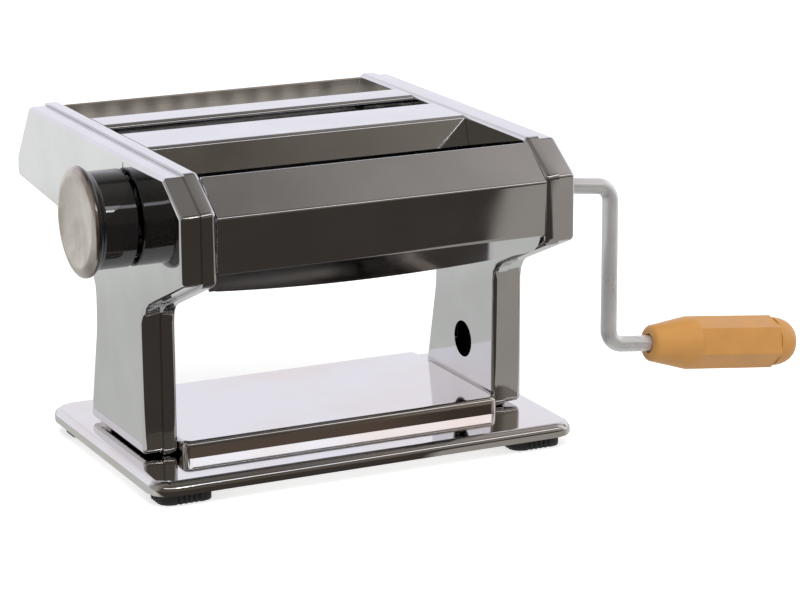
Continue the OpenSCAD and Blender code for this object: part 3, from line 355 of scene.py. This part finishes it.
def soft_edges_tree():
    """Joins a piece's faces and shades them smoothly across edges that bend less than an angle."""
    weld_distance = 1e-6
    sharp_angle = math.radians(32.0)
    tree = bpy.data.node_groups.new("soft_edges", "GeometryNodeTree")
    tree.interface.new_socket("Geometry", in_out="INPUT", socket_type="NodeSocketGeometry")
    tree.interface.new_socket("Geometry", in_out="OUTPUT", socket_type="NodeSocketGeometry")
    start = tree.nodes.new("NodeGroupInput")
    end = tree.nodes.new("NodeGroupOutput")
    plain = tree.nodes.new("GeometryNodeRemoveAttribute")
    plain.inputs["Name"].default_value = "custom_normal"
    weld = tree.nodes.new("GeometryNodeMergeByDistance")
    weld.inputs["Distance"].default_value = weld_distance
    angle = tree.nodes.new("GeometryNodeInputMeshEdgeAngle")
    gentle = tree.nodes.new("FunctionNodeCompare")
    gentle.operation = "LESS_THAN"
    gentle.inputs["B"].default_value = sharp_angle
    faces = tree.nodes.new("GeometryNodeSetShadeSmooth")
    edges = tree.nodes.new("GeometryNodeSetShadeSmooth")
    edges.domain = "EDGE"
    link = tree.links.new
    link(start.outputs["Geometry"], plain.inputs["Geometry"])
    link(plain.outputs["Geometry"], weld.inputs["Geometry"])
    link(weld.outputs["Geometry"], faces.inputs["Geometry"])
    link(faces.outputs["Geometry"], edges.inputs["Geometry"])
    link(angle.outputs["Unsigned Angle"], gentle.inputs["A"])
    link(gentle.outputs["Result"], edges.inputs["Shade Smooth"])
    link(edges.outputs["Geometry"], end.inputs["Geometry"])
    return tree


SOFT_EDGES = soft_edges_tree()


def soften(piece):
    """Shades a piece smoothly across its gentle edges and keeps its flat faces flat."""
    piece.modifiers.new("soft_edges", "NODES").node_group = SOFT_EDGES
    flat_faces = piece.modifiers.new("flat_faces", "WEIGHTED_NORMAL")
    flat_faces.keep_sharp = True


def dress(node, finish):
    """Gives a CAD node its finish and its soft edges."""
    piece = frame["nodes"][node]
    for slot in piece.material_slots:
        slot.link = "OBJECT"
        slot.material = finish
    soften(piece)


for part in frame["record"]["subparts"]:
    dress(part["node"], NODE_FINISHES.get(part["node"], FINISHES[part["material_slot"]]))


# Pieces that the scene adds, in metres
def add_piece(name, mesh, body, finish):
    """A piece that rides on a body of the machine."""
    mesh.materials.clear()
    mesh.materials.append(finish)
    piece = bpy.data.objects.new(name, mesh)
    bpy.context.scene.collection.objects.link(piece)
    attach(piece, body)
    return piece


def add_bar(name, sections, finish):
    """A closed bar on the housing, through cross-sections that have the same number of corners."""
    sides = len(sections[0])
    vertices = [corner for section in sections for corner in section]
    faces = [tuple(range(sides))[::-1], tuple(range(len(vertices) - sides, len(vertices)))]
    for start in range(0, len(vertices) - sides, sides):
        for side in range(sides):
            after = (side + 1) % sides
            faces.append((start + side, start + after, start + sides + after, start + sides + side))
    mesh = bpy.data.meshes.new(name)
    mesh.from_pydata(vertices, [], faces)
    return add_piece(name, mesh, "housing", finish)


def add_cover_lip():
    """The front cover's lower edge, which bows down in the middle."""
    edge = Vector((0.0, -0.07445, 0.0939))
    run, drop, sheet = 10.0, 9.8, 0.001
    half, bow, steps = 0.0769, 0.006, 48
    down = Vector((0.0, run, -drop)).normalized()
    inward = Vector((0.0, drop, run)).normalized() * sheet
    sections = []
    for step in range(1, steps):
        part = 2.0 * step / steps - 1.0
        top = edge + Vector((part * half, 0.0, 0.0))
        low = top + down * bow * (1.0 - part * part)
        sections.append([top, low, low + inward, top + inward])
    add_bar("front_cover_lip", sections, FINISHES["chrome"])


def add_cover_bead():
    """The round bead along the front cover's upper edge."""
    centre = Vector((0.0, -0.06773, 0.14052))
    half, radius, corners = 0.0768, 0.001, 24
    turns = [2.0 * math.pi * corner / corners for corner in range(corners)]
    sections = [
        [centre + Vector((x, radius * math.cos(turn), radius * math.sin(turn))) for turn in turns]
        for x in (-half, half)
    ]
    soften(add_bar("front_cover_bead", sections, FINISHES["chrome"]))


def add_roller_guard():
    """The sheet that hangs from the centre bar and hides the cutters from the roller slot."""
    half, front, back, foot, top = 0.0765, 0.004, 0.0048, 0.1195, 0.14165
    sections = [
        [Vector((x, y, z)) for y, z in ((front, top), (front, foot), (back, foot), (back, top))]
        for x in (-half, half)
    ]
    add_bar("roller_guard", sections, FINISHES["steel"])


def add_platform_draft():
    """The slope of the platform's front: it leans back from its foot, less near the corners."""
    half, corner, front, sunk, draft = 0.0729, 0.004, 0.039, 0.0001, 0.0008
    foot_level, top_level = Vector((0.0, 0.0, 0.0115)), Vector((0.0, 0.0, 0.0165))
    last_turn, fade, steps = math.radians(60.0), 1.5, 6
    turns = [last_turn * step / steps for step in range(steps + 1)]
    path = [(-half, -turn) for turn in reversed(turns)] + [(half, turn) for turn in turns]
    sections = []
    for x, turn in path:
        centre = Vector((x, -front, 0.0))
        outward = Vector((math.sin(turn), -math.cos(turn), 0.0))
        wall = centre + outward * (corner - sunk)
        foot = centre + outward * (corner + draft * math.cos(fade * turn))
        sections.append([wall + foot_level, foot + foot_level, wall + top_level])
    add_bar("platform_draft", sections, NODE_FINISHES["base_tray"])


def add_knob_coil():
    """The knob spring, as a copy that rides on the adjuster in place of the CAD spring; it keeps
    its length when the knob is pulled out.
    """
    node = frame["nodes"]["knob_spring"]
    coil = add_piece("knob_coil", node.data.copy(), "adjuster", FINISHES["steel"])
    soften(coil)
    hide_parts("knob_spring")
    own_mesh(coil)


add_cover_lip()
add_cover_bead()
add_roller_guard()
add_platform_draft()
add_knob_coil()


# Camera
def add_camera():
    """The camera, at the place and with the lens that were fitted to the photograph."""
    camera = bpy.data.objects.new("camera", bpy.data.cameras.new("camera"))
    bpy.context.scene.collection.objects.link(camera)
    camera.location = CAMERA_PLACE
    turns = (90.0 - CAMERA_PITCH, CAMERA_ROLL, CAMERA_YAW)
    camera.rotation_euler = [math.radians(turn) for turn in turns]
    camera.data.sensor_width = SENSOR_WIDTH
    camera.data.lens = CAMERA_LENS
    camera.data.clip_end = CAMERA_REACH
    bpy.context.scene.camera = camera


# Stage
def add_plane(name, centre, size, material):
    """A flat rectangle of the stage, in metres."""
    half_x, half_y = size[0] / 2, size[1] / 2
    signs = ((-1, -1), (1, -1), (1, 1), (-1, 1))
    corners = [(x * half_x, y * half_y, 0.0) for x, y in signs]
    mesh = bpy.data.meshes.new(name)
    mesh.from_pydata(corners, [], [(0, 1, 2, 3)])
    mesh.materials.append(material)
    plane = bpy.data.objects.new(name, mesh)
    plane.location = centre
    bpy.context.scene.collection.objects.link(plane)
    return plane


def only_mirrored(card):
    """Shows a card of the stage to the machine's mirrors alone."""
    card.visible_camera = False
    card.visible_diffuse = False
    card.visible_shadow = False
    card.visible_transmission = False


def glowing(name, strength=1.0):
    """A black material that glows white, and its shader."""
    return new_material(
        name, Base_Color=BLACK, Specular_IOR_Level=0.0,
        Emission_Color=WHITE, Emission_Strength=strength,
    )


def aim(thing, target):
    """Turns a lamp or a card so that it faces a point."""
    direction = Vector(target) - thing.location
    thing.rotation_euler = direction.to_track_quat("-Z", "Y").to_euler()


def add_floor():
    """Pale floor that fades to the white background and keeps a faint shadow."""
    pale, glow = 0.8, 0.62
    material, shader = new_material(
        "floor", Base_Color=shade(WHITE, pale), Roughness=1.0,
        Specular_IOR_Level=0.0, Emission_Color=WHITE,
    )
    path = add_node(material, "ShaderNodeLightPath")
    seen = path.outputs["Is Camera Ray"]
    for ray in ("Is Glossy Ray", "Is Transmission Ray"):
        seen = larger(material, seen, path.outputs[ray])
    plug_all(material, shader, Emission_Strength=times(material, seen, glow))
    add_plane("floor", (0.0, 0.0, 0.0), FLOOR_SIZE, material)


def add_mirrored_floor():
    """What the mirrors see of the floor: pale far behind, shaded near by, dark in front."""
    height = 0.001
    material, shader = glowing("mirrored_floor")
    place = place_on(material)
    bands = {name: band(material, place, *limits) for name, limits in FLOOR_BANDS.items()}
    front = mix(material, bands["right"], FLOOR_FRONT, FLOOR_FRONT_RIGHT)
    back = mix(material, bands["behind"], FLOOR_NEAR, FLOOR_FAR)
    plug_all(material, shader, Emission_Color=mix(material, bands["ahead"], back, front))
    only_mirrored(add_plane("mirrored_floor", (0.0, 0.0, height), FLOOR_SIZE, material))


def add_slim_lamp():
    """Narrow lamp that shows as a small highlight on the knob and the corners."""
    place, size, knob = (0.417, -1.235, 0.866), (0.014, 0.15), (-0.1, -0.02, 0.117)
    material, _ = glowing("slim_lamp", strength=10.0)
    card = add_plane("slim_lamp", place, size, material)
    aim(card, knob)
    only_mirrored(card)


def add_world():
    """White behind the machine, grey overhead and dark in front, for the mirrors alone.

    The rest gets an even light, and the background is white.
    """
    even_light = shade(WHITE, 0.55)
    world = bpy.data.worlds.new("studio")
    bpy.context.scene.world = world
    world.use_nodes = True
    direction = add_node(world, "ShaderNodeTexCoord").outputs["Generated"]
    bands = {name: band(world, direction, *limits) for name, limits in SKY_BANDS.items()}
    behind = times(world, bands["behind_start"], bands["behind_end"])
    window = times(world, bands["window_foot"], bands["window_head"])
    window = times(world, window, bands["window_ahead"])
    overhead = mix(world, bands["brighter"], OVERHEAD_LEFT, OVERHEAD_RIGHT)
    overhead = mix(world, behind, overhead, OVERHEAD_BACK)
    back = mix(world, bands["leftwards"], BACK_LIGHT, LEFT_LIGHT)
    back = mix(world, bands["up"], back, overhead)
    level = mix(world, bands["level_right"], LEVEL_LEFT, LEVEL_RIGHT)
    front = mix(world, bands["brighter"], FRONT_LEFT, FRONT_RIGHT)
    front = mix(world, bands["level"], front, level)
    mirrored = mix(world, bands["ahead"], back, front)
    mirrored = mix(world, window, mirrored, FRONT_WINDOW)
    path = add_node(world, "ShaderNodeLightPath")
    light = mix(world, path.outputs["Is Glossy Ray"], even_light, mirrored)
    light = mix(world, path.outputs["Is Camera Ray"], light, WHITE)
    plug_all(world, world.node_tree.nodes["Background"], Color=light)


def add_lamp(name, place, size, power):
    """Soft square lamp that faces the middle of the machine and stays out of the mirrors."""
    lamp = bpy.data.objects.new(name, bpy.data.lights.new(name, "AREA"))
    bpy.context.scene.collection.objects.link(lamp)
    lamp.location = place
    lamp.data.size = size
    lamp.data.energy = power
    lamp.visible_glossy = False
    aim(lamp, MIDDLE)


add_camera()
add_floor()
add_mirrored_floor()
add_slim_lamp()
add_world()
add_lamp("top_lamp", place=(-0.35, -0.6, 1.5), size=1.2, power=13.0)
add_lamp("side_lamp", place=(1.2, -0.9, 0.9), size=0.8, power=4.0)

bpy.context.scene.view_settings.view_transform = "Standard"
